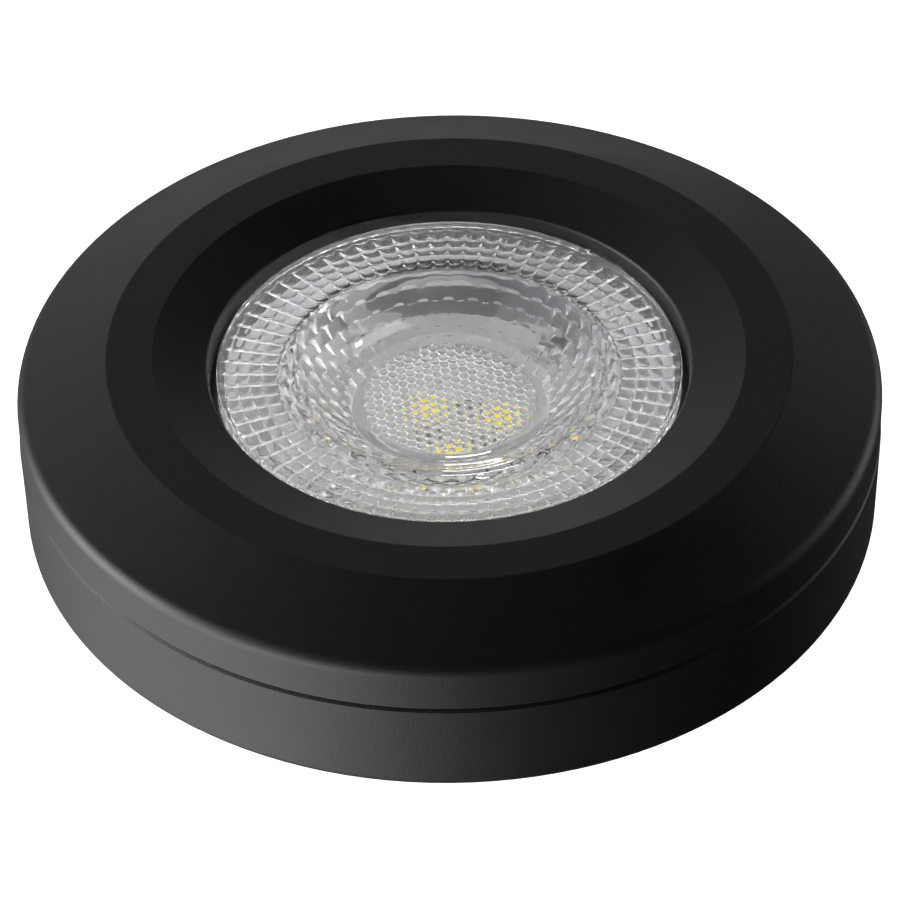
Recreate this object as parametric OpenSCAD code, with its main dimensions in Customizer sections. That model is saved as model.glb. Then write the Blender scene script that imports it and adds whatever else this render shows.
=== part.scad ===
// LED disc lamp: two moulded black shells snapped together, a clear moulded
// lens over a board with three yellow LEDs, and a twist-in cap with two
// mushroom contacts. +Z is the way the light goes. The origin is the middle
// of the cap boss's end face, and the lamp rests on that face.

/* [Disc] */
// Largest diameter of the disc, where the two shells meet
disc_d = 75; // [74.4:0.1:77]
// Height of the cap boss below the seat plane
boss_h = 11; // [10.6:0.1:12]
// Height of the rear shell's side band, seat plane to seam
rear_side_h = 8.8; // [8.6:0.1:9.6]
// Height of the front shell's side band, seam to rim
front_side_h = 4.25; // [4:0.05:5]
// Rise of the sloped front from the rim to the flat ring
bevel_rise = 3.15; // [2.9:0.05:3.8]
// Wall thickness of both shells
wall = 1.6; // [1.5:0.05:1.7]

/* [Front ring] */
// Outer diameter of the flat ring on the front
ring_outer_d = 59.2; // [58.6:0.1:60.4]
// Inner diameter of the flat ring, where the funnel starts
ring_inner_d = 51.2; // [50:0.1:52]
// Diameter of the funnel's lower edge
funnel_d = 42.2; // [42.1:0.1:42.8]
// Drop of the funnel from the flat ring to its lower edge
funnel_drop = 1.4; // [1.2:0.1:1.7]
// Diameter of the opening that the lens sits in
aperture_d = 41.5; // [41.4:0.1:41.8]
// Inner diameter of the ledge under the lens's edge
ledge_d = 39; // [38.6:0.1:39.2]
// Radius on the disc's front outer edge
rim_r = 1.2; // [0.9:0.1:1.4]

/* [Lens] */
// Diameter of the lens's edge
lens_d = 40.3; // [40:0.1:40.6]
// Thickness of the lens's flange
flange_t = 1.8; // [1.7:0.1:1.9]
// How far the lens's face sits below the flat ring
lens_inset = 2.0; // [1.8:0.1:2.2]
// Diameter of the dish in the lens's face, at the face
dish_d = 29.4; // [29:0.1:29.8]
// Diameter of the flat floor of that dish
floor_d = 15.4; // [15:0.1:15.8]
// Depth of that floor below the lens's face
dish_depth = 2.95; // [2.8:0.05:3.1]
// Thickness between that floor and the light pocket behind it
floor_t = 1.65; // [1.5:0.05:1.8]

/* [Cap] */
// Diameter of the cap boss
boss_d = 45.4; // [45:0.1:45.6]
// Distance between the two contacts
contact_pitch = 53; // [53:0.1:53.4]
// Diameter of a contact's head
head_d = 5.3; // [5.1:0.1:5.4]
// Thickness of a contact's head
head_t = 1.8; // [1.7:0.1:1.9]
// Diameter of a contact's neck
neck_d = 3; // [2.8:0.1:3.1]
// How far a contact reaches below the seat plane
contact_h = 5.6; // [5.4:0.1:5.8]

/* [Light source] */
// Diameter of the round light source board
led_board_d = 31; // [30.8:0.1:31.4]
// Width of one LED's white body
led_w = 3.5; // [3.2:0.1:3.8]
// Diameter of the yellow window in one LED
led_window_d = 2.9; // [2.6:0.1:3]
// Diameter of the circle that the LEDs sit on
led_circle_d = 7.5; // [7:0.1:8]

/* [Hidden] */
$fn = 128;
e = 0.01;

// levels
z_seat = boss_h;
z_seam = z_seat + rear_side_h;
z_rim = z_seam + front_side_h;
z_ring = z_rim + bevel_rise;
z_face = z_ring - lens_inset;
z_ledge = z_face - flange_t;
z_floor_in = z_seat + wall;            // inside of the rear shell's back
z_spread = z_floor_in + 4.4;           // underside of the spreader's shelf
z_pan = z_floor_in + 1.1;              // underside of the spreader's pan
plate_t = 1;                           // pressed aluminium sheet
z_pad = z_pan + plate_t;
pad_t = 0.3;
z_board = z_pad + pad_t;
board_t = 1.2;
z_light = z_board + board_t;           // face of the light source board
z_pcb = 3.2;                           // underside of the driver board
pcb_t = 1.6;
z_parts = z_pcb + pcb_t;

// radii
r_seam = disc_d / 2;
r_side_in = r_seam - wall;             // inside of the side walls
r_boss = boss_d / 2;
r_boss_in = r_boss - wall;
r_pcb = r_boss_in - 0.45;
hook_n = 6;
hook_w = 8;                            // degrees
post_r = 30.5;
post_a = [90, 210, 330];
screw_a = [45, 225];
screw_r = 13.1;
lead_hole = [17.3, -4.6];
led_a = [19, 139, 259];
diode_a = [79, 199, 319];
led_mid = [1, -1.2];                   // middle of the LED group
led_h = 0.7;

// points on an arc in a section, from angle a0 to a1
function arc(c, r, a0, a1, n = 6) =
    [for (i = [0:n]) let (a = a0 + (a1 - a0) * i / n)
        [c[0] + r * cos(a), c[1] + r * sin(a)]];

// arc that rounds the corner b between the lines a-b and b-c, radius r
function unit(v) = v / norm(v);
function fillet(a, b, c, r, n = 6) =
    let (u = unit(a - b), v = unit(c - b),
         half = acos(u * v) / 2,
         o = b + unit(u + v) * (r / sin(half)),
         p = b + u * (r / tan(half)), q = b + v * (r / tan(half)),
         a0 = atan2(p[1] - o[1], p[0] - o[0]),
         a1 = atan2(q[1] - o[1], q[0] - o[0]),
         d = a1 - a0, s = d > 180 ? d - 360 : d < -180 ? d + 360 : d)
    arc(o, r, a0, a0 + s, n);

// ---------------------------------------------------------------- shells

// section of the front shell, from the seam up, over the front and back
side_top = [r_seam - 0.04, z_rim];
seam_up = [r_seam - 0.07, z_seam];
b_edge = [ring_outer_d / 2, z_ring];
c_edge = [ring_inner_d / 2, z_ring];
f_edge = [funnel_d / 2 - 0.2, z_ring - funnel_drop];
a_wall = [aperture_d / 2, z_ring - funnel_drop - 0.1];
// the funnel's slope on its underside, and the underside of the bevel
bezel_section = concat(
    [seam_up + [-0.22, 0], seam_up + [0, 0.22]],
    fillet(seam_up, side_top, b_edge, rim_r, 8),
    fillet(side_top, b_edge, c_edge, 0.5, 4),
    fillet(b_edge, c_edge, f_edge, 0.35, 4),
    fillet(c_edge, f_edge, [f_edge[0] - 0.4, z_ledge], 0.35, 5),
    [[aperture_d / 2, z_ledge],
     [ledge_d / 2, z_ledge],
     [ledge_d / 2, z_ledge - 1.5],
     [aperture_d / 2 + 1.2, z_ledge - 1.5],
     [aperture_d / 2 + 1.4, z_ring - funnel_drop - wall + 0.15],
     [ring_inner_d / 2 + 0.3, z_ring - wall],
     [ring_outer_d / 2 - 0.35, z_ring - wall],
     [r_side_in - 0.1, z_rim - 1.05],
     [r_side_in - 0.1, z_seam + 1.6],
     [r_side_in - 0.8, z_seam + 0.9],
     [r_side_in - 0.8, z_seam - 1.5],
     [r_side_in - 0.06, z_seam - 1.5],
     [r_side_in - 0.06, z_seam]]);

module ring_part(section, a, w) {
    rotate([0, 0, a - w / 2]) rotate_extrude(angle = w) polygon(section);
}

hook_a = [for (i = [0:hook_n - 1]) i * 360 / hook_n + 15];
hook_out = r_side_in - 0.06;
hook_section = [[hook_out - 1.3, z_seam + 0.5], [hook_out - 1.3, z_seam - 5],
    [hook_out - 0.2, z_seam - 5], [hook_out + 0.45, z_seam - 4.1],
    [hook_out + 0.45, z_seam - 3.6], [hook_out - 0.04, z_seam - 3.3],
    [hook_out - 0.04, z_seam - 1.8], [hook_out - 0.2, z_seam - 1.2],
    [hook_out - 0.2, z_seam + 0.5]];

module front_bezel() color([0.075, 0.073, 0.072]) {
    rotate_extrude() polygon(bezel_section);
    for (a = hook_a) ring_part(hook_section, a, hook_w);
    // ribs between the ledge's wall and the bevel
    for (i = [0:5]) rotate([0, 0, i * 60 + 45])
        rotate([90, 0, 0]) linear_extrude(1.2, center = true) polygon([
            [aperture_d / 2 + 1.0, z_ledge - 1.2],
            [aperture_d / 2 + 3.6, z_ledge + 0.4],
            [ring_outer_d / 2 - 0.3, z_ledge + 0.4],
            [ring_outer_d / 2 + 3.4, z_rim - 0.4],
            [ring_outer_d / 2 + 0.2, z_ring - 1.2],
            [ring_inner_d / 2, z_ring - 1.2],
            [aperture_d / 2 + 1.0, z_ring - funnel_drop - 1.2]]);
}

// section of the rear shell
foot = [r_seam - 0.2, z_seat];
rear_section = concat(
    [[0, 0.25], [15.2, 0.25], [15.5, 0]],
    fillet([15.5, 0], [r_boss, 0], [r_boss, z_seat], 0.8, 5),
    [[r_boss, z_seat - 0.25], [r_boss + 0.25, z_seat]],
    fillet([r_boss, z_seat], foot, [r_seam, z_seam], 0.7, 6),
    [[r_seam, z_seam - 0.2], [r_seam - 0.2, z_seam],
     [r_side_in, z_seam],
     [r_side_in, z_seam - 2],
     [r_side_in - 0.1, z_floor_in + 0.6],
     [r_side_in - 0.7, z_floor_in],
     [r_boss_in + 0.4, z_floor_in],
     [r_boss_in, z_floor_in - 0.4],
     [r_boss_in, wall + 0.5],
     [r_boss_in - 0.5, wall],
     [0, wall]]);

catch_section = [[r_side_in - 0.5, z_seam - 5.3], [r_side_in + 0.6, z_seam - 5.3],
    [r_side_in + 0.6, z_seam - 3.45], [r_side_in, z_seam - 3.2],
    [r_side_in - 0.5, z_seam - 3.2]];

module rear_housing() color([0.085, 0.083, 0.082]) difference() {
    union() {
        rotate_extrude() polygon(rear_section);
        // screw posts and shelf ribs under the heat spreader
        for (a = post_a) rotate([0, 0, a]) {
            translate([post_r, 0, z_floor_in - e])
                cylinder(r = 2.7, h = z_spread - z_floor_in + e, $fn = 48);
            translate([post_r + 2, -0.6, z_floor_in - e])
                cube([r_side_in - post_r - 2.3, 1.2, z_spread - z_floor_in - 1]);
        }
        for (a = [30, 60, 120, 150, 240, 270, 300]) rotate([0, 0, a])
            translate([25, -0.6, z_floor_in - e])
                cube([r_side_in - 25 - 0.3, 1.2, z_spread - z_floor_in + e]);
        // pads that carry the contacts
        for (s = [-1, 1]) translate([s * contact_pitch / 2, 0, z_floor_in - e])
            cylinder(r = 3.6, h = 0.8 + e, $fn = 64);
        // rests for the driver board, and nibs that hold it down
        for (a = post_a) rotate([0, 0, a])
            translate([r_boss_in - 1.9, -0.9, wall - e])
                cube([2.1, 1.8, z_pcb - wall + e]);
        for (a = [30, 150, 270])
            ring_part([[r_boss_in + 0.2, z_parts + 0.1], [r_boss_in - 0.75, z_parts + 0.1],
                [r_boss_in + 0.2, z_parts + 1.9]], a, 9);
    }
    // catches that the front shell's hooks snap into
    for (a = hook_a) ring_part(catch_section, a, hook_w + 1.5);
    // holes for the contacts
    for (s = [-1, 1]) translate([s * contact_pitch / 2, 0, z_seat - 1])
        cylinder(d = neck_d, h = wall + 3, $fn = 64);
    // pilot holes in the screw posts
    for (a = post_a) rotate([0, 0, a]) translate([post_r, 0, z_floor_in + 0.6])
        cylinder(r = 1.1, h = 6, $fn = 32);
    // channels for the mains leads
    for (s = [-1, 1]) translate([s * (r_boss_in + 1.4) - 2.6, -1.1, z_floor_in - 0.8])
        cube([5.2, 2.2, 3]);
}

// ---------------------------------------------------------------- lens

lens_r = lens_d / 2;
z_lens_floor = z_face - dish_depth;
z_pocket = z_lens_floor - floor_t;
r_throat = floor_d / 2 - 0.2;          // the light pocket's ceiling
lens_base = z_light + 0.1;
// soft S from the face down to the dish floor
dish_pts = [for (i = [0:16]) let (t = i / 16, r = dish_d / 2 + (floor_d / 2 - dish_d / 2) * t)
    [r, z_face - dish_depth * (0.5 - 0.5 * cos(180 * pow(t, 0.82)))]];
// bulged outer wall that throws the light forward
wall_pts = [for (i = [0:12]) let (t = i / 12)
    [9.3 + (dish_d / 2 + 0.1 - 9.3) * t + 1.15 * t * (1 - t) * 2,
     lens_base + (z_ledge - lens_base) * t]];
lens_section = concat(
    [[0, z_pocket], [r_throat, z_pocket], [8.2, lens_base]],
    wall_pts,
    [[lens_r - 0.05, z_ledge], [lens_r, z_ledge + 0.1], [lens_r, z_face - 0.2],
     [lens_r - 0.06, z_face - 0.06], [lens_r - 0.2, z_face]],
    dish_pts,
    [[0, z_lens_floor]]);

module lens() color([0.9, 0.92, 0.94, 0.45]) {
    rotate_extrude() polygon(lens_section);
    // two low lobes on the edge, where the mould was fed
    for (a = [46, 222]) intersection() {
        rotate([0, 0, a]) translate([lens_r - 4.7, 0, z_ledge + 0.05])
            cylinder(r = 5.15, h = flange_t - 0.2, $fn = 96);
        translate([0, 0, z_ledge]) difference() {
            cylinder(r = lens_r + 1, h = flange_t);
            translate([0, 0, -1]) cylinder(r = lens_r - 1, h = flange_t + 2);
        }
    }
}

// ---------------------------------------------------------------- light source

module led_board() color([0.93, 0.93, 0.91]) difference() {
    translate([0, 0, z_board]) cylinder(d = led_board_d, h = board_t);
    for (a = screw_a) rotate([0, 0, a]) translate([screw_r, 0, z_board - 1])
        cylinder(r = 1.2, h = 4, $fn = 32);
}

// white bodies of the LEDs, each with a round cup for the phosphor, one
// corner cut off as the polarity mark
module led_bodies() color([0.95, 0.95, 0.93]) translate([led_mid[0], led_mid[1], 0])
    for (a = led_a) rotate([0, 0, a]) translate([led_circle_d / 2, 0, z_light])
        difference() {
            linear_extrude(height = led_h) polygon([
                [-led_w / 2, -led_w / 2], [led_w / 2, -led_w / 2],
                [led_w / 2, led_w / 2 - 0.6], [led_w / 2 - 0.6, led_w / 2],
                [-led_w / 2, led_w / 2]]);
            translate([0, 0, 0.25])
                cylinder(d = led_window_d, h = led_h, $fn = 64);
        }

module led_phosphor() color([0.93, 0.83, 0.2]) translate([led_mid[0], led_mid[1], 0])
    for (a = led_a) rotate([0, 0, a])
        translate([led_circle_d / 2, 0, z_light + 0.25])
            cylinder(d = led_window_d, h = led_h - 0.31, $fn = 64);

// small black diodes, one between each two LEDs
module led_diodes() color([0.1, 0.1, 0.11]) translate([led_mid[0], led_mid[1], 0])
    for (a = diode_a) rotate([0, 0, a]) translate([2.7, 0, z_light])
        linear_extrude(height = 0.6)
            polygon([[-0.4, -0.6], [0.4, -0.6], [0.4, 0.6], [-0.4, 0.6]]);

module thermal_pad() color([0.6, 0.62, 0.65]) difference() {
    translate([0, 0, z_pad]) cylinder(d = led_board_d - 1, h = pad_t);
    for (a = screw_a) rotate([0, 0, a]) translate([screw_r, 0, z_pad - 1])
        cylinder(r = 1.2, h = 4, $fn = 32);
}

// pan-head screw standing on z = 0, head up, with a cross recess
module screw(shank_r, len, head_r, head_h) {
    difference() {
        union() {
            translate([0, 0, -len]) cylinder(r = shank_r, h = len + e, $fn = 32);
            rotate_extrude($fn = 48) polygon(concat([[0, 0], [head_r, 0], [head_r, head_h * 0.35]],
                [for (i = [1:5]) let (a = i * 15) [head_r * cos(a) * 0.98,
                    head_h * 0.35 + head_h * 0.65 * sin(a)]], [[0, head_h]]));
        }
        for (a = [0, 90]) rotate([0, 0, a])
            translate([-head_r * 0.55, -0.22, head_h * 0.45])
                cube([head_r * 1.1, 0.44, head_h]);
    }
}

module led_board_screws() color([0.78, 0.79, 0.8])
    for (a = screw_a) rotate([0, 0, a]) translate([screw_r, 0, z_light])
        rotate([0, 0, 20]) screw(0.95, 4, 1.7, 1.3);

module spreader_screws() color([0.78, 0.79, 0.8])
    for (a = post_a) rotate([0, 0, a]) translate([post_r, 0, z_spread + plate_t])
        screw(1.1, 4.6, 2, 1.5);

// pressed aluminium pan with a raised shelf and an upturned edge
pan_r = 20.3;
shelf_r = 23.6;
rim_in = r_side_in - 2.5;
spreader_section = [[0, z_pan], [pan_r, z_pan], [pan_r + 0.4, z_pan + 0.15],
    [shelf_r, z_spread - 0.15], [shelf_r + 0.4, z_spread],
    [rim_in, z_spread], [rim_in + 0.8, z_spread + 0.6], [rim_in + 0.8, z_seam - 0.2],
    [rim_in, z_seam - 0.2], [rim_in - 0.1, z_spread + 1.3], [rim_in - 0.4, z_spread + plate_t],
    [shelf_r, z_spread + plate_t], [shelf_r - 0.5, z_spread + plate_t - 0.2],
    [pan_r - 0.3, z_pan + plate_t + 0.15], [pan_r - 0.6, z_pan + plate_t],
    [0, z_pan + plate_t]];

module heat_spreader() color([0.82, 0.83, 0.84]) difference() {
    rotate_extrude() polygon(spreader_section);
    for (a = screw_a) rotate([0, 0, a]) translate([screw_r, 0, z_pan - 1])
        cylinder(r = 0.95, h = 3, $fn = 32);
    for (a = post_a) rotate([0, 0, a]) translate([post_r, 0, z_spread - 1])
        cylinder(r = 1.4, h = 3, $fn = 32);
    translate([lead_hole[0], lead_hole[1], z_pan - 1]) cylinder(r = 2.2, h = 3, $fn = 48);
}

// ---------------------------------------------------------------- contacts

module contact_pin(s) translate([s * contact_pitch / 2, 0, 0])
    rotate_extrude($fn = 96) polygon(concat(
        [[0, z_seat - contact_h]],
        fillet([0, z_seat - contact_h], [head_d / 2, z_seat - contact_h],
            [head_d / 2, z_seat], 0.45, 5),
        fillet([head_d / 2, z_seat - contact_h], [head_d / 2, z_seat - contact_h + head_t],
            [0, z_seat - contact_h + head_t], 0.25, 4),
        [[neck_d / 2, z_seat - contact_h + head_t],
         [neck_d / 2, z_floor_in + 0.8],
         [2.3, z_floor_in + 0.8], [2.3, z_floor_in + 1.2], [1.9, z_floor_in + 1.45],
         [0, z_floor_in + 1.45]]));

module contact_pin_left() color([0.8, 0.79, 0.76]) contact_pin(-1);
module contact_pin_right() color([0.8, 0.79, 0.76]) contact_pin(1);

// ---------------------------------------------------------------- driver

// places of the through-hole legs on the driver board
bulk_legs = [[-9.3, 9.6], [-9.3, 13.4]];
output_legs = [[2.6, -14.0], [2.6, -11.0]];
film_legs = [[12.5, -1.0], [12.5, 7.0]];
fuse_legs = [[-9.6, -12.5], [1.2, -12.5]];
wind_legs = [[-14.2, -5.2], [-14.2, 2.2], [-6.8, -5.2], [-6.8, 2.2]];
legs = concat(bulk_legs, output_legs, film_legs, fuse_legs, wind_legs);
leg_r = 0.3;

module driver_board() color([0.16, 0.42, 0.24]) difference() {
    translate([0, 0, z_pcb]) cylinder(r = r_pcb, h = pcb_t);
    for (p = legs) translate([p[0], p[1], z_pcb - 1]) cylinder(r = leg_r, h = 4, $fn = 24);
    // clearance beside the mains leads
    for (s = [-1, 1]) translate([s * (r_pcb + 0.2), 0, z_pcb - 1])
        cylinder(r = 1.1, h = 4, $fn = 32);
}

module leg(p, top) translate([p[0], p[1], z_pcb - 0.9])
    cylinder(r = leg_r, h = top - z_pcb + 0.9, $fn = 24);

// round capacitor lying on the board, legs bent down
module can(cx, cy, d, len, pins) {
    zc = z_parts + d / 2 + 0.1;
    translate([cx, cy, zc]) rotate([0, 90, 0]) rotate_extrude($fn = 64) polygon([
        [0, -len / 2], [d / 2 - 0.4, -len / 2], [d / 2, -len / 2 + 0.4],
        [d / 2, -len / 2 + 1.4], [d / 2 - 0.35, -len / 2 + 1.8], [d / 2, -len / 2 + 2.2],
        [d / 2, len / 2 - 0.3], [d / 2 - 0.3, len / 2], [0, len / 2]]);
    for (p = pins) {
        leg(p, zc);
        translate([p[0], p[1], zc]) sphere(r = leg_r, $fn = 24);
        translate([p[0], p[1], zc]) rotate([0, 90, 0])
            cylinder(r = leg_r, h = cx - len / 2 - p[0] + 0.2, $fn = 24);
    }
}

module bulk_capacitor() color([0.12, 0.14, 0.2]) can(-2, 11.5, 8, 12, bulk_legs);
module output_capacitor() color([0.12, 0.14, 0.2]) can(8.2, -12.5, 6.3, 9, output_legs);

module film_capacitor() color([0.75, 0.3, 0.12]) {
    translate([10.4, -2, z_parts + 0.4]) cube([4.2, 10, 7.4]);
    for (p = film_legs) leg(p, z_parts + 0.6);
}

module fusible_resistor() color([0.35, 0.55, 0.4]) {
    zc = z_parts + 1.8;
    translate([-4.2, -12.5, zc]) rotate([0, 90, 0]) rotate_extrude($fn = 48) polygon([
        [0, -4.2], [1.1, -4.2], [1.6, -3.6], [1.6, -2.6], [1.35, -2.2], [1.35, 2.2],
        [1.6, 2.6], [1.6, 3.6], [1.1, 4.2], [0, 4.2]]);
    for (p = fuse_legs) {
        leg(p, zc);
        translate([p[0], p[1], zc]) sphere(r = leg_r, $fn = 24);
    }
    translate([fuse_legs[0][0], -12.5, zc]) rotate([0, 90, 0])
        cylinder(r = leg_r, h = fuse_legs[1][0] - fuse_legs[0][0], $fn = 24);
}

module transformer_core() color([0.2, 0.2, 0.22]) difference() {
    translate([-15, -4, z_parts + 0.6]) cube([9, 5, 7.4]);
    // the window that the winding passes through
    translate([-13.4, -5, z_parts + 2.1]) cube([5.8, 7, 4.4]);
}

module transformer_winding() color([0.72, 0.38, 0.14]) {
    translate([-13.2, -6.3, z_parts + 2.3]) difference() {
        cube([5.4, 9.6, 4]);
        translate([-1, -1, -1]) cube([7.4, 1.4, 1.6]);
    }
    for (p = wind_legs) {
        leg(p, z_parts + 1.2);
        translate([p[0], p[1], z_parts + 1.2]) sphere(r = leg_r, $fn = 24);
        translate([p[0], p[1] < 0 ? -5.2 : 2.2, z_parts + 1.2]) rotate([0, 0, 0])
            cylinder(r = leg_r, h = 1.6, $fn = 24);
        translate([p[0], p[1] < 0 ? -5.2 : 2.2, z_parts + 2.8]) sphere(r = leg_r, $fn = 24);
        translate([p[0], p[1] < 0 ? -5.2 : 2.2, z_parts + 2.8])
            rotate([0, p[0] < -10 ? 90 : -90, 0]) cylinder(r = leg_r, h = 1.4, $fn = 24);
    }
}

// flat-bodied chip with bent legs on two sides
module chip(cx, cy, w, l, h, n, pitch) translate([cx, cy, z_parts]) {
    translate([-w / 2, -l / 2, 0.15]) cube([w, l, h]);
    for (s = [-1, 1]) for (i = [0:n - 1]) translate([s * (w / 2 + 0.35), (i - (n - 1) / 2) * pitch, 0])
        translate([-0.55, -0.2, 0]) cube([1.1, 0.4, 0.35]);
}

module bridge_rectifier() color([0.1, 0.1, 0.11]) chip(5, 3.5, 3.9, 4.7, 2.3, 2, 2.54);
module driver_chip() color([0.1, 0.1, 0.11]) chip(3.6, -4.2, 3.9, 4.9, 1.4, 4, 1.27);
module freewheel_diode() color([0.1, 0.1, 0.11]) chip(-2, 2.5, 4.3, 2.6, 2.1, 1, 1);

module chip_resistors() color([0.14, 0.14, 0.15])
    for (p = [[-2.2, -2.2], [-2.2, -4.4], [-2.2, -6.6], [8.6, -5.6], [8.6, -3.4], [3.6, -8.6]])
        translate([p[0] - 1, p[1] - 0.62, z_parts]) cube([2, 1.25, 0.55]);

// wire of radius r swept along a list of points that never runs along Y
function soften(p) = concat([p[0]],
    [for (i = [0:len(p) - 2]) each
        (i == 0 ? [p[0] * 0.3 + p[1] * 0.7] :
         i == len(p) - 2 ? [p[i] * 0.7 + p[i + 1] * 0.3] :
         [p[i] * 0.75 + p[i + 1] * 0.25, p[i] * 0.25 + p[i + 1] * 0.75])],
    [p[len(p) - 1]]);
function heading(p, i) = unit(
    (i < len(p) - 1 ? unit(p[i + 1] - p[i]) : [0, 0, 0]) +
    (i > 0 ? unit(p[i] - p[i - 1]) : [0, 0, 0]));
module wire(route, r, sides = 8) {
    p = soften(route);
    n = len(p);
    polyhedron(
        points = [for (i = [0:n - 1])
            let (t = heading(p, i), u = unit(cross([0, 1, 0], t)), v = cross(t, u))
            for (k = [0:sides - 1]) let (a = 360 * k / sides)
                p[i] + r * (cos(a) * u + sin(a) * v)],
        faces = concat(
            [[for (k = [sides - 1:-1:0]) k]],
            [[for (k = [0:sides - 1]) (n - 1) * sides + k]],
            [for (i = [0:n - 2]) for (k = [0:sides - 1]) let (j = (k + 1) % sides)
                [i * sides + k, i * sides + j, (i + 1) * sides + j, (i + 1) * sides + k]]));
}

module led_lead(y0, y1) {
    z = z_light + 0.75;
    wire([[lead_hole[0], y0, z_parts], [lead_hole[0], y0, z - 0.9],
        [lead_hole[0] - 0.3, y0, z], [13.2, y1, z + 0.15], [12.2, y1, z_light + 0.6]], 0.5);
}

module led_lead_positive() color([0.85, 0.85, 0.83]) led_lead(lead_hole[1] + 0.9, -2.2);
module led_lead_negative() color([0.85, 0.85, 0.83]) led_lead(lead_hole[1] - 0.9, -5.6);

module mains_lead(s) {
    zt = z_floor_in + 1.45;
    wire([[s * contact_pitch / 2, 0, zt], [s * contact_pitch / 2, 0, zt + 1.1],
        [s * 24.4, 0, zt + 1], [s * 22.8, 0, z_floor_in + 0.4],
        [s * 21, 0, z_floor_in + 0.1], [s * 19.9, 0, z_floor_in - 1],
        [s * 18.6, 0, z_parts + 3], [s * 18.6, 0, z_parts]], 0.5);
}

module mains_lead_left() color([0.85, 0.85, 0.83]) mains_lead(-1);
module mains_lead_right() color([0.85, 0.85, 0.83]) mains_lead(1);

front_bezel();
lens();
led_board();
led_bodies();
led_phosphor();
led_diodes();
thermal_pad();
led_board_screws();
heat_spreader();
spreader_screws();
rear_housing();
contact_pin_left();
contact_pin_right();
driver_board();
bulk_capacitor();
output_capacitor();
film_capacitor();
transformer_core();
transformer_winding();
bridge_rectifier();
driver_chip();
freewheel_diode();
fusible_resistor();
chip_resistors();
led_lead_positive();
led_lead_negative();
mains_lead_left();
mains_lead_right();
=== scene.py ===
import math

import bpy
import numpy as np
from mathutils import Matrix, Vector
from mathutils.geometry import delaunay_2d_cdt


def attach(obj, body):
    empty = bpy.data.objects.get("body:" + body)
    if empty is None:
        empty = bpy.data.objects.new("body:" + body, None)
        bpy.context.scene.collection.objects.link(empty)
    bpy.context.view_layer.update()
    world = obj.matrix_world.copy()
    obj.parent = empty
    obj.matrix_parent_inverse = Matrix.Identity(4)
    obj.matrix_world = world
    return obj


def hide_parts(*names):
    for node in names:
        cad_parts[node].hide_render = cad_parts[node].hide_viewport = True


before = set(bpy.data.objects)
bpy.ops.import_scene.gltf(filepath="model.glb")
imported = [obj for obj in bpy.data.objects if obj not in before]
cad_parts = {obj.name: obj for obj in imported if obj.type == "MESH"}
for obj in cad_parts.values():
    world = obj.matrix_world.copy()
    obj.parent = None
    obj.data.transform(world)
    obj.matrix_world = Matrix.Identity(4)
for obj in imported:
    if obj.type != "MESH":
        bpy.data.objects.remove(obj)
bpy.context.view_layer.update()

MM = 0.001
TAU = 2 * math.pi


# ---------------------------------------------------------------- camera
# The photograph looks down at 40.9 degrees from about 0.45 m through a long
# lens, with the horizon turned by one degree.
def make_camera():
    e, roll, far = 0.71329, -0.01683, 0.4476
    aim = Vector((0, 0, 0.016935))
    back = Vector((0, -math.cos(e), math.sin(e)))
    right, up = Vector((1, 0, 0)), Vector((0, math.sin(e), math.cos(e)))
    r2 = right * math.cos(roll) + up * math.sin(roll)
    u2 = up * math.cos(roll) - right * math.sin(roll)
    ax, ay = 0.42 / 5113.04, 12.36 / 5113.04
    fwd = (-back - r2 * ax - u2 * ay).normalized()
    u = (u2 - fwd * u2.dot(fwd)).normalized()
    r = fwd.cross(u)
    data = bpy.data.cameras.new("camera")
    data.sensor_width = 36
    data.lens = 204.52
    data.clip_start, data.clip_end = 0.02, 20
    cam = bpy.data.objects.new("camera", data)
    m = Matrix((r, u, -fwd)).transposed().to_4x4()
    m.translation = aim + back * far
    cam.matrix_world = m
    bpy.context.scene.collection.objects.link(cam)
    bpy.context.scene.camera = cam


make_camera()


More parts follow.
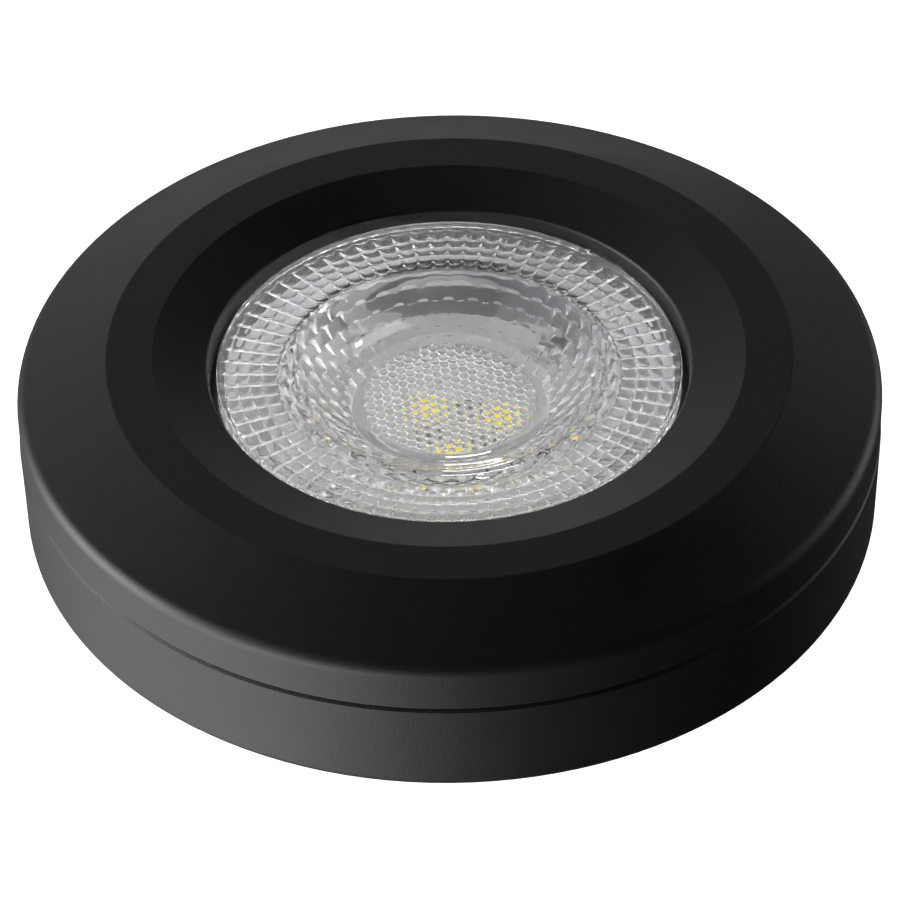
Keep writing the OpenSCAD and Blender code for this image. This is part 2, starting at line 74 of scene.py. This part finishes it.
# ---------------------------------------------------------------- nodes
class Tree:
    """A short way to write a node tree."""

    def __init__(self, owner):
        owner.use_nodes = True
        self.t = owner.node_tree
        self.t.nodes.clear()

    def add(self, kind, **values):
        n = self.t.nodes.new(kind)
        for k, v in values.items():
            if hasattr(n, k):
                setattr(n, k, v)
        return n

    def put(self, socket, value):
        if isinstance(value, bpy.types.NodeSocket):
            self.t.links.new(value, socket)
        elif value is not None:
            socket.default_value = value

    def where(self):
        return self.add("ShaderNodeTexCoord").outputs["Object"]

    def noise(self, scale, detail=2.0, rough=0.5, at=None, distortion=0.0):
        n = self.add("ShaderNodeTexNoise")
        self.put(n.inputs["Vector"], at or self.where())
        n.inputs["Scale"].default_value = scale
        n.inputs["Detail"].default_value = detail
        n.inputs["Roughness"].default_value = rough
        n.inputs["Distortion"].default_value = distortion
        return n.outputs["Fac"]

    def cells(self, scale, feature="F1", randomness=1.0, at=None, out="Distance"):
        n = self.add("ShaderNodeTexVoronoi", feature=feature)
        self.put(n.inputs["Vector"], at or self.where())
        n.inputs["Scale"].default_value = scale
        n.inputs["Randomness"].default_value = randomness
        return n.outputs[out]

    def math(self, op, a, b=None, c=None, clamp=False):
        n = self.add("ShaderNodeMath", operation=op, use_clamp=clamp)
        for i, v in enumerate((a, b, c)):
            self.put(n.inputs[i], v)
        return n.outputs[0]

    def map(self, v, lo, hi, to_lo=0.0, to_hi=1.0, smooth=False):
        n = self.add("ShaderNodeMapRange",
                     interpolation_type="SMOOTHSTEP" if smooth else "LINEAR")
        self.put(n.inputs["Value"], v)
        n.inputs["From Min"].default_value = lo
        n.inputs["From Max"].default_value = hi
        n.inputs["To Min"].default_value = to_lo
        n.inputs["To Max"].default_value = to_hi
        return n.outputs["Result"]

    def mix(self, fac, a, b):
        n = self.add("ShaderNodeMix", data_type="RGBA")
        self.put(n.inputs["Factor"], fac)
        self.put(n.inputs[6], a)
        self.put(n.inputs[7], b)
        return n.outputs[2]

    def bump(self, height, strength, distance, normal=None):
        n = self.add("ShaderNodeBump")
        n.inputs["Strength"].default_value = strength
        n.inputs["Distance"].default_value = distance
        self.put(n.inputs["Height"], height)
        self.put(n.inputs["Normal"], normal)
        return n.outputs["Normal"]

    def surface(self, **values):
        n = self.add("ShaderNodeBsdfPrincipled")
        for k, v in values.items():
            self.put(n.inputs[k.replace("_", " ")], v)
        out = self.add("ShaderNodeOutputMaterial")
        self.t.links.new(n.outputs[0], out.inputs["Surface"])
        return n


def rgb(r, g, b):
    return (r, g, b, 1.0)


def material(name):
    m = bpy.data.materials.new(name)
    return m, Tree(m)


def black_plastic():
    m, t = material("matte_black_plastic")
    grain = t.noise(5200, 3.0, 0.62)
    cloud = t.noise(120, 3.0, 0.55)
    col = t.mix(t.map(grain, 0.3, 0.7), rgb(0.0105, 0.0102, 0.0100),
                rgb(0.0165, 0.0162, 0.0160))
    # a few light dust specks, each a small grain of its own size
    far = t.cells(520)
    pick = t.add("ShaderNodeTexVoronoi", feature="F1")
    t.put(pick.inputs["Vector"], t.where())
    pick.inputs["Scale"].default_value = 520
    sep = t.add("ShaderNodeSeparateColor")
    t.t.links.new(pick.outputs["Color"], sep.inputs[0])
    chosen = t.math("GREATER_THAN", sep.outputs[0], 0.9)
    small = t.math("LESS_THAN", far, t.math("MULTIPLY", sep.outputs[1], 0.055))
    speck = t.math("MULTIPLY", chosen, small)
    col = t.mix(speck, col, rgb(0.11, 0.108, 0.105))
    rough = t.map(cloud, 0.3, 0.7, 0.36, 0.43)
    n1 = t.bump(grain, 0.35, 0.00006)
    t.surface(Base_Color=col, Roughness=rough, Specular_IOR_Level=0.5, Normal=n1)
    return m


def clear_acrylic():
    m, t = material("clear_acrylic")
    haze = t.noise(900, 3.0, 0.6)
    n = t.surface(Base_Color=rgb(0.985, 0.99, 0.99),
                  Roughness=t.map(haze, 0.35, 0.75, 0.0, 0.035),
                  Transmission_Weight=1.0, IOR=1.49)
    return m


def white_mask():
    m, t = material("white_solder_mask")
    g = t.noise(2600, 3.0, 0.6)
    col = t.mix(t.map(g, 0.3, 0.7), rgb(0.80, 0.80, 0.78), rgb(0.88, 0.88, 0.865))
    t.surface(Base_Color=col, Roughness=t.map(g, 0.3, 0.7, 0.32, 0.42),
              Normal=t.bump(g, 0.25, 0.00005))
    return m


def led_white():
    m, t = material("white_led_body")
    g = t.noise(3800, 2.0, 0.5)
    col = t.mix(t.map(g, 0.3, 0.7), rgb(0.84, 0.84, 0.82), rgb(0.90, 0.90, 0.885))
    t.surface(Base_Color=col, Roughness=t.map(g, 0.3, 0.7, 0.28, 0.4),
              Normal=t.bump(g, 0.2, 0.00004))
    return m


def phosphor():
    m, t = material("yellow_phosphor")
    g = t.noise(6500, 3.0, 0.6)
    col = t.mix(t.map(g, 0.3, 0.7), rgb(0.96, 0.72, 0.03), rgb(1.0, 0.82, 0.07))
    # painted glow: the unlit phosphor is given a little emission that brightens its yellow
    t.surface(Base_Color=col, Roughness=t.map(g, 0.3, 0.7, 0.24, 0.36),
              Emission_Color=col, Emission_Strength=0.38,
              Normal=t.bump(g, 0.2, 0.00003))
    return m


def bright_aluminium():
    m, t = material("bright_pressed_aluminium")
    # fine rolling lines along X, with a soft cloudy change of gloss
    at = t.add("ShaderNodeMapping")
    t.put(at.inputs["Vector"], t.where())
    at.inputs["Scale"].default_value = (0.06, 1.0, 1.0)
    lines = t.noise(5200, 2.0, 0.5, at=at.outputs[0])
    cloud = t.noise(180, 2.0, 0.5)
    col = t.mix(t.map(cloud, 0.3, 0.7), rgb(0.80, 0.81, 0.82), rgb(0.89, 0.895, 0.90))
    t.surface(Base_Color=col, Metallic=0.75,
              Roughness=t.map(lines, 0.25, 0.75, 0.48, 0.62),
              Normal=t.bump(lines, 0.25, 0.00003))
    return m


def metal(name, low, high, r0, r1, scale=3000.0, bump=0.2):
    m, t = material(name)
    g = t.noise(scale, 3.0, 0.6)
    cloud = t.noise(scale * 0.12, 2.0, 0.5)
    col = t.mix(t.map(cloud, 0.3, 0.7), low, high)
    t.surface(Base_Color=col, Metallic=1.0, Roughness=t.map(g, 0.3, 0.7, r0, r1),
              Normal=t.bump(g, bump, 0.00003))
    return m


def coat(name, low, high, r0, r1, scale=3000.0, bump=0.25, detail=3.0):
    m, t = material(name)
    g = t.noise(scale, detail, 0.6)
    cloud = t.noise(scale * 0.1, 2.0, 0.5)
    col = t.mix(t.map(cloud, 0.3, 0.7), low, high)
    t.surface(Base_Color=col, Roughness=t.map(g, 0.3, 0.7, r0, r1),
              Normal=t.bump(g, bump, 0.00004))
    return m


def green_board():
    m, t = material("green_board")
    weave = t.noise(2400, 2.0, 0.5)
    cloud = t.noise(300, 2.0, 0.5)
    col = t.mix(t.map(cloud, 0.3, 0.7), rgb(0.016, 0.105, 0.045), rgb(0.028, 0.16, 0.07))
    t.surface(Base_Color=col, Roughness=t.map(weave, 0.3, 0.7, 0.28, 0.4),
              Normal=t.bump(weave, 0.25, 0.00004))
    return m


def copper_winding():
    m, t = material("enamelled_winding")
    wave = t.add("ShaderNodeTexWave", wave_type="BANDS", bands_direction="Z")
    t.put(wave.inputs["Vector"], t.where())
    wave.inputs["Scale"].default_value = 1300
    wave.inputs["Distortion"].default_value = 0.4
    w = wave.outputs["Fac"]
    col = t.mix(w, rgb(0.30, 0.09, 0.02), rgb(0.72, 0.30, 0.08))
    t.surface(Base_Color=col, Roughness=t.map(w, 0, 1, 0.4, 0.22),
              Normal=t.bump(w, 0.6, 0.00012))
    return m


MATERIALS = {
    "front_bezel": black_plastic(),
    "led_board": white_mask(),
    "led_bodies": led_white(),
    "led_phosphor": phosphor(),
    "thermal_pad": coat("grey_thermal_pad", rgb(0.30, 0.32, 0.35), rgb(0.40, 0.42, 0.45), 0.6, 0.8),
    "led_board_screws": metal("zinc_screw", rgb(0.74, 0.745, 0.75), rgb(0.86, 0.86, 0.865), 0.36, 0.52),
    "heat_spreader": bright_aluminium(),
    "contact_pin_left": metal("nickel_contact", rgb(0.62, 0.60, 0.55), rgb(0.74, 0.72, 0.67), 0.22, 0.36),
    "driver_board": green_board(),
    "bulk_capacitor": coat("dark_sleeve", rgb(0.012, 0.016, 0.035), rgb(0.02, 0.025, 0.05), 0.22, 0.35, 900),
    "film_capacitor": coat("dipped_coat", rgb(0.40, 0.085, 0.02), rgb(0.52, 0.13, 0.035), 0.2, 0.4, 1500),
    "transformer_core": coat("ferrite", rgb(0.028, 0.028, 0.032), rgb(0.05, 0.05, 0.056), 0.6, 0.85, 4200, 0.6),
    "transformer_winding": copper_winding(),
    "driver_chip": coat("black_epoxy", rgb(0.012, 0.012, 0.013), rgb(0.02, 0.02, 0.022), 0.45, 0.65, 5200, 0.4),
    "fusible_resistor": coat("green_flameproof", rgb(0.07, 0.20, 0.10), rgb(0.11, 0.28, 0.15), 0.5, 0.7, 3200, 0.4),
    "mains_lead_left": coat("white_insulation", rgb(0.66, 0.66, 0.64), rgb(0.76, 0.76, 0.74), 0.4, 0.55),
}
for same, other in (("rear_housing", "front_bezel"), ("spreader_screws", "led_board_screws"),
                    ("contact_pin_right", "contact_pin_left"),
                    ("output_capacitor", "bulk_capacitor"), ("bridge_rectifier", "driver_chip"),
                    ("freewheel_diode", "driver_chip"), ("led_diodes", "driver_chip"),
                    ("chip_resistors", "driver_chip"), ("mains_lead_right", "mains_lead_left"),
                    ("led_lead_positive", "mains_lead_left"), ("led_lead_negative", "mains_lead_left")):
    MATERIALS[same] = MATERIALS[other]
for name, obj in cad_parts.items():
    if name in MATERIALS:
        obj.data.materials.clear()
        obj.data.materials.append(MATERIALS[name])


# ---------------------------------------------------------------- lens
# One closed skin, walked along its section from the middle of the face out to
# the edge, back in under the flange, down the facet wall, round the base, up
# the light pocket and across its bead ceiling. Millimetres.
class Skin:
    def __init__(self):
        self.v, self.f, self.n = [], [], 0
        self.sharp = []

    def ring(self, pts):
        pts = np.asarray(pts, float)
        ids = np.arange(self.n, self.n + len(pts))
        self.v.append(pts)
        self.n += len(pts)
        return ids

    def circle(self, r, z, n):
        a = np.arange(n) * TAU / n
        r = np.broadcast_to(r, (n,))
        z = np.broadcast_to(z, (n,))
        return self.ring(np.stack([r * np.cos(a), r * np.sin(a), z], 1))

    def strip(self, a, b):
        if len(a) != len(b):
            return self.bridge(a, b)
        q = np.stack([a, b, np.roll(b, -1), np.roll(a, -1)], 1)
        self.f.extend(q.tolist())

    def bridge(self, a, b):
        """Joins two rings of different counts, both starting at angle 0."""
        na, nb, i, j = len(a), len(b), 0, 0
        while i < na or j < nb:
            if j >= nb or (i < na and (i + 1) / na <= (j + 1) / nb):
                self.f.append([int(a[i % na]), int(b[j % nb]), int(a[(i + 1) % na])])
                i += 1
            else:
                self.f.append([int(a[i % na]), int(b[j % nb]), int(b[(j + 1) % nb])])
                j += 1

    def crease(self, ids):
        """A ring whose own edges stay sharp."""
        self.sharp.append(np.stack([ids, np.roll(ids, -1)], 1))


FACE_Z, UNDER_Z, LIP_R = 25.2, 23.4, 20.15
CELLS, CELL_COLS = 72, 8
ROWS = (19.47, 18.37, 17.27, 16.23, 14.86)
ROW_AT = (-1.0, -0.86, -0.7, -0.3, 0.15, 0.55, 0.78, 0.9)
FACETS, FACET_COLS, FACET_ROWS, FACET_RINGS = 36, 12, 6, 8
LOBES = ((46, 15.45, 5.15), (222, 15.45, 5.15))


def dish_z(r):
    t = np.clip((14.7 - r) / 7.0, 0, 1)
    return FACE_Z - 2.95 * (0.5 - 0.5 * np.cos(math.pi * t ** 0.82))


def wall_point(t):
    return 9.3 + 5.5 * t + 2.3 * t * (1 - t), 16.3 + 7.1 * t


def lobe_radius(a):
    """Outline of the edge with its two low lobes."""
    r = np.full_like(a, LIP_R)
    for deg, at, own in LOBES:
        d = (a - math.radians(deg) + math.pi) % TAU - math.pi
        s = own ** 2 - (at * np.sin(d)) ** 2
        reach = np.where(s > 0, at * np.cos(d) + np.sqrt(np.maximum(s, 0)), 0)
        r = np.maximum(r, np.where(np.cos(d) > 0, reach, 0))
    return r


def make_lens():
    s = Skin()
    n_top, n_rim = 360, CELLS * CELL_COLS
    # face: flat floor, dish, flat flange
    mid = s.ring([[0, 0, dish_z(0.0)]])
    first = s.circle(1.5, dish_z(1.5), 36)
    s.f.extend([[int(mid[0]), int(first[i]), int(first[(i + 1) % 36])] for i in range(36)])
    last = first
    for r, n in ((3.5, 90), (5.6, 180), (7.2, n_top)):
        now = s.circle(r, dish_z(r), n)
        s.strip(last, now)
        last = now
    for t in np.linspace(1, 0, 37):
        r = 14.7 - 7.0 * t
        now = s.circle(r, dish_z(r), n_top)
        s.strip(last, now)
        last = now
    a = np.arange(n_rim) * TAU / n_rim
    now = s.circle(15.2, FACE_Z, n_rim)
    s.strip(last, now)
    last = now
    # edge: small round at the top, the two lobes below it
    lip = lobe_radius(a)
    for r, z in ((17.5, FACE_Z), (19.3, FACE_Z), (19.92, FACE_Z), (20.03, 25.175),
                 (20.11, 25.12), (LIP_R, 25.04)):
        now = s.circle(r, z, n_rim)
        s.strip(last, now)
        last = now
    for k, z in ((1.0, 25.0), (1.0, 23.52)):
        now = s.circle(LIP_R + (lip - LIP_R) * k, z, n_rim)
        s.strip(last, now)
        last = now
    s.crease(last)
    for r, z in ((LIP_R, 23.46), (20.09, UNDER_Z)):
        now = s.circle(r, z, n_rim)
        s.strip(last, now)
        last = now
    # underside of the flange: flat land, then the pillow cells
    u = ((np.arange(n_rim) % CELL_COLS) / CELL_COLS) * 2 - 1
    for k in range(len(ROWS) - 1):
        r0, r1 = ROWS[k], ROWS[k + 1]
        steps = ROW_AT + ((1.0,) if k == len(ROWS) - 2 else ())
        for i, v in enumerate(steps):
            r = r0 + (r1 - r0) * (v + 1) / 2
            half_t, half_r = math.pi * (r0 + r1) / 2 / CELLS, (r0 - r1) / 2
            z = (UNDER_Z + (half_t * u) ** 2 / (2 * PILLOW_ALONG)
                 + RIDGE * np.maximum(0.0, (abs(u) - 0.5) / 0.5) ** 2
                 + (half_r * v) ** 2 / (2 * PILLOW_ACROSS)
                 + GROOVE * max(0.0, (abs(v) - 0.72) / 0.28) ** 1.5)
            now = s.circle(r, z, n_rim)
            s.strip(last, now)
            if abs(v) == 1:
                s.crease(now)
            if not (k == 0 and i == 0):
                cols = np.arange(0, n_rim, CELL_COLS)
                s.sharp.append(np.stack([last[cols], now[cols]], 1))
            last = now
    # facet wall: staggered rows of slightly domed facets
    nf = FACETS * FACET_COLS
    col = np.arange(nf)
    rings = FACET_ROWS * FACET_RINGS

    def dome(row, v):
        shift = 0.5 * (row % 2)
        uu = ((col / FACET_COLS + shift) % 1.0) * 2 - 1
        return -(FACET_A * uu ** 2 + FACET_B * v ** 2)

    now = s.circle(14.8, 23.4, nf)
    s.strip(last, now)
    s.crease(now)
    last = now
    for i in range(1, rings + 1):
        t = 1 - i / rings
        row, at = divmod(i, FACET_RINGS)
        if at == 0:
            d = np.minimum(dome(row - 1, 1.0), dome(row, -1.0)) if i < rings else dome(row - 1, 1.0) * 0
        else:
            d = dome(row, at / FACET_RINGS * 2 - 1)
        r, z = wall_point(t)
        r2, z2 = wall_point(t + 1e-3)
        tr, tz = r2 - r, z2 - z
        ln = math.hypot(tr, tz)
        nr, nz = tz / ln, -tr / ln
        now = s.circle(r + nr * d, z + nz * d, nf)
        s.strip(last, now)
        if at == 0:
            s.crease(now)
        row_now = (i - 1) // FACET_RINGS
        shift = 0 if row_now % 2 == 0 else FACET_COLS // 2
        cols = (np.arange(FACETS) * FACET_COLS + shift) % nf
        s.sharp.append(np.stack([last[cols], now[cols]], 1))
        last = now
    # base ring and pocket wall
    n_in = 360
    for r, z, sharp in ((9.25, 16.3, True), (8.2, 16.3, True), (8.03, 17.35, False),
                        (7.85, 18.45, False), (7.68, 19.5, False), (7.52, 20.6, True)):
        now = s.circle(r, z, n_in)
        s.strip(last, now)
        if sharp:
            s.crease(now)
        last = now
    beads(s, last)
    return s


def beads(s, outer):
    """Ceiling of the pocket: a hexagonal field of round beads."""
    pitch, own, cut = BEAD_PITCH, BEAD_R, 7.46
    m = 5
    step = pitch / math.sqrt(3) / m
    turn = math.radians(BEAD_TURN)
    e1 = np.array([math.cos(turn), math.sin(turn)]) * step
    e2 = np.array([math.cos(turn + math.pi / 3), math.sin(turn + math.pi / 3)]) * step
    k = int(cut / step * 1.3) + 3
    i, j = np.meshgrid(np.arange(-k, k + 1), np.arange(-k, k + 1), indexing="ij")
    i, j = i.ravel(), j.ravel()
    p = i[:, None] * e1 + j[:, None] * e2
    keep = np.hypot(p[:, 0], p[:, 1]) < cut - step * 0.55
    p = p[keep]

    def gaps(q):
        """Distance to the nearest and the second nearest bead."""
        t2 = turn + math.pi / 6
        c1 = np.array([math.cos(t2), math.sin(t2)]) * pitch
        c2 = np.array([math.cos(t2 + math.pi / 3), math.sin(t2 + math.pi / 3)]) * pitch
        inv = np.linalg.inv(np.stack([c1, c2], 1))
        uv = q @ inv.T
        base = np.floor(uv)
        d = []
        for da in (-1, 0, 1, 2):
            for db in (-1, 0, 1, 2):
                c = (base + [da, db])
                c = c[:, :1] * c1 + c[:, 1:] * c2
                d.append(np.hypot(*(q - c).T))
        d = np.sort(np.stack(d), 0)
        return d[0], d[1]

    def height(q):
        d = gaps(q)[0]
        return 20.6 + own - np.sqrt(np.maximum(own ** 2 - d ** 2, (own * 0.2) ** 2))

    n = len(outer)
    a = np.arange(n) * TAU / n
    edge = np.stack([cut * np.cos(a), cut * np.sin(a)], 1)
    pts = np.concatenate([edge, p])
    verts, _, faces, _, _, _ = delaunay_2d_cdt(
        [Vector(q) for q in pts], [(q, (q + 1) % n) for q in range(n)], [], 1, 1e-9)
    flat = np.array([[q.x, q.y] for q in verts])
    z = height(flat)
    base = s.n
    s.ring(np.stack([flat[:, 0], flat[:, 1], z], 1))
    tris = np.array([f for f in faces if len(f) == 3], int)
    ax, bx, cx = flat[tris[:, 0]], flat[tris[:, 1]], flat[tris[:, 2]]
    area = (bx[:, 0] - ax[:, 0]) * (cx[:, 1] - ax[:, 1]) - (bx[:, 1] - ax[:, 1]) * (cx[:, 0] - ax[:, 0])
    tris[area > 0] = tris[area > 0][:, ::-1]
    s.f.extend((tris + base).tolist())
    # the rim of the field is its first n points, in order
    near = []
    for q in edge:
        near.append(int(np.argmin(np.hypot(*(flat[:n + 5] - q).T))))
    rim = np.array(near) + base
    s.strip(outer, rim)
    # creases between beads
    ed = np.unique(np.sort(np.concatenate([tris[:, [0, 1]], tris[:, [1, 2]], tris[:, [2, 0]]]), 1), axis=0)
    ok = np.ones(len(ed), bool)
    for w in (0.0, 0.5, 1.0):
        q = flat[ed[:, 0]] * (1 - w) + flat[ed[:, 1]] * w
        d0, d1 = gaps(q)
        ok &= (d1 - d0) < 1e-4
    s.sharp.append(ed[ok] + base)


PILLOW_ALONG, PILLOW_ACROSS, GROOVE, RIDGE = 1.7, 2.6, 0.07, 0.04
FACET_A, FACET_B = 0.18, 0.03
BEAD_PITCH, BEAD_R, BEAD_TURN = 0.89, 0.62, 5.5


def to_object(s, name):
    co = np.concatenate(s.v) * MM
    mesh = bpy.data.meshes.new(name)
    mesh.from_pydata(co.tolist(), [], s.f)
    mesh.validate()
    mesh.shade_smooth()
    marks = np.concatenate(s.sharp)
    keys = set(map(tuple, np.sort(marks, 1).tolist()))
    ev = np.zeros(len(mesh.edges) * 2, np.int32)
    mesh.edges.foreach_get("vertices", ev)
    ev = np.sort(ev.reshape(-1, 2), 1)
    sharp = np.fromiter((tuple(q) in keys for q in ev.tolist()), bool, len(ev))
    att = mesh.attributes.get("sharp_edge") or mesh.attributes.new("sharp_edge", "BOOLEAN", "EDGE")
    att.data.foreach_set("value", sharp)
    mesh.update()
    obj = bpy.data.objects.new(name, mesh)
    bpy.context.scene.collection.objects.link(obj)
    return obj


lens = to_object(make_lens(), "moulded_lens")
lens.data.materials.append(clear_acrylic())
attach(lens, "root")
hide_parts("lens")


# ---------------------------------------------------------------- floor
def make_floor():
    mesh = bpy.data.meshes.new("floor")
    n, r = 64, 3.0
    pts = [(r * math.cos(TAU * i / n), r * math.sin(TAU * i / n), -0.00005) for i in range(n)]
    mesh.from_pydata(pts, [], [list(range(n))])
    floor = bpy.data.objects.new("floor", mesh)
    bpy.context.scene.collection.objects.link(floor)
    m, t = material("pale_floor")
    g = t.noise(60, 2.0, 0.5)
    col = t.mix(t.map(g, 0.3, 0.7), rgb(0.80, 0.80, 0.80), rgb(0.82, 0.82, 0.82))
    t.surface(Base_Color=col, Roughness=0.9, Specular_IOR_Level=0.1,
              Emission_Color=rgb(1, 1, 1), Emission_Strength=1.3)
    mesh.materials.append(m)
    floor.visible_glossy = False
    floor.visible_diffuse = False
    floor.visible_transmission = False
    floor.visible_shadow = False
    return floor


make_floor()


# ---------------------------------------------------------------- light
# Soft studio light: a few wide soft lobes, with no glow all round while AMBIENT is 0.
# Each lobe: direction, sharpness, strength.
AMBIENT = 0.0
LOBE_LIST = [
    # azimuth from the far side, elevation, sharpness, strength
    (-90, 8, 14, 7.71), (-135, -20, 8, 3.86), (60, 8, 14, 1.53), (-90, -20, 8, 1.51),
    (0, 8, 14, 0.49), (-90, -50, 4, 0.46), (-30, 8, 14, 0.33), (-60, 33, 14, 0.24),
    (-30, 33, 14, 0.21), (45, -20, 8, 0.08),
]


def direction(az, el):
    a, e = math.radians(az), math.radians(el)
    return Vector((math.sin(a) * math.cos(e), math.cos(a) * math.cos(e), math.sin(e)))


def make_world(lobes=None, ambient=None):
    w = bpy.data.worlds.new("studio")
    bpy.context.scene.world = w
    t = Tree(w)
    d = t.add("ShaderNodeTexCoord").outputs["Generated"]
    total = AMBIENT if ambient is None else ambient
    if lobes is None:
        lobes = [(direction(az, el), sharp, strength) for az, el, sharp, strength in LOBE_LIST]
    for axis, sharp, strength in lobes:
        dot = t.add("ShaderNodeVectorMath", operation="DOT_PRODUCT")
        t.put(dot.inputs[0], d)
        dot.inputs[1].default_value = Vector(axis).normalized()
        up = t.math("MAXIMUM", dot.outputs["Value"], 0.0)
        total = t.math("MULTIPLY_ADD", t.math("POWER", up, sharp), strength, total)
    b = t.add("ShaderNodeBackground")
    b.inputs["Color"].default_value = rgb(1, 1, 1)
    t.put(b.inputs["Strength"], total)
    out = t.add("ShaderNodeOutputWorld")
    t.t.links.new(b.outputs[0], out.inputs["Surface"])


make_world()


# Soft boxes that light the clear part and what lies behind it.
# Azimuth, elevation, width and height in degrees, brightness, colour.
WHITE, COOL, WARM = (1.0, 1.0, 1.0), (0.94, 0.95, 1.0), (1.0, 0.97, 0.94)
BLUE, ORANGE = (0.10, 0.26, 1.0), (1.0, 0.40, 0.07)
BOXES = [
    (46, 60, 13, 24, 2.8, WARM),
    (75, 60, 13, 24, 2.8, WARM),
    (-60, 60, 36, 26, 0.9, COOL),
    (0, 35, 30, 22, 1.15, WHITE),
    (60, 35, 30, 22, 1.2, WARM),
    (120, 35, 30, 22, 0.6, WARM),
    (140, 35, 9, 20, 5.2, WHITE),
    (158, 35, 9, 20, 5.2, WHITE),
    (176, 35, 8, 20, 3.8, WHITE),
    (190, 35, 8, 20, 3.8, COOL),
    (210, 35, 30, 22, 0.5, COOL),
    (-30, 35, 30, 22, 0.55, COOL),
    (98, 12, 13, 20, 6.6, COOL),
    (120, 12, 13, 20, 6.6, COOL),
    (142, 12, 13, 20, 6.6, COOL),
    # small bright lamps, and the coloured edges that a clear part gives them
    (50, 52, 3.5, 3.5, 34.0, WHITE),
    (-75, 40, 2.5, 2.5, 24.0, WHITE),
    (95, 30, 3, 8, 24.0, WHITE),
    (92.8, 30, 1.0, 8, 12.0, BLUE),
    (97.2, 30, 1.0, 8, 11.0, ORANGE),
    (-110, 22, 3, 9, 24.0, WHITE),
    (-112.2, 22, 1.0, 9, 12.0, BLUE),
    (-107.8, 22, 1.0, 9, 11.0, ORANGE),
    (-77.2, 40, 0.8, 2.5, 14.0, BLUE),
    (-72.8, 40, 0.8, 2.5, 13.0, ORANGE),
    (170, 62, 4, 4, 18.0, WHITE),
    (-2, 15.5, 5, 5, 10.0, WHITE),
]


def make_boxes(boxes=None):
    lit = bpy.data.collections.new("lit_by_boxes")
    lit.objects.link(lens)
    for name in INSIDE:
        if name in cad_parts:
            lit.objects.link(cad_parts[name])
    for k, (az, el, wide, high, level, colour) in enumerate(BOXES if boxes is None else boxes):
        far = 1.5
        data = bpy.data.lights.new("soft_box_%d" % k, "AREA")
        data.shape = "RECTANGLE"
        data.size = 2 * far * math.tan(math.radians(wide / 2))
        data.size_y = 2 * far * math.tan(math.radians(high / 2))
        data.energy = level * 4 * data.size * data.size_y
        data.color = colour
        box = bpy.data.objects.new(data.name, data)
        d = direction(az, el)
        box.location = Vector((0, 0, 0.02)) + d * far
        up = Vector((0, 0, 1)) if abs(el) < 85 else Vector((0, 1, 0))
        side = up.cross(d).normalized()
        box.matrix_world = Matrix((side, d.cross(side), d)).transposed().to_4x4()
        box.matrix_world.translation = Vector((0, 0, 0.02)) + d * far
        bpy.context.scene.collection.objects.link(box)
        box.visible_camera = False
        box.light_linking.receiver_collection = lit


INSIDE = ("heat_spreader", "led_board", "led_bodies", "led_phosphor", "led_diodes",
          "led_board_screws", "spreader_screws", "thermal_pad", "led_lead_positive",
          "led_lead_negative")
make_boxes()

sc = bpy.context.scene
sc.view_settings.view_transform = "Standard"
sc.view_settings.look = "None"
sc.cycles.use_denoising = True
sc.cycles.max_bounces = 24
sc.cycles.transmission_bounces = 20
sc.cycles.glossy_bounces = 8
sc.cycles.diffuse_bounces = 4
sc.cycles.caustics_reflective = True
sc.cycles.caustics_refractive = True
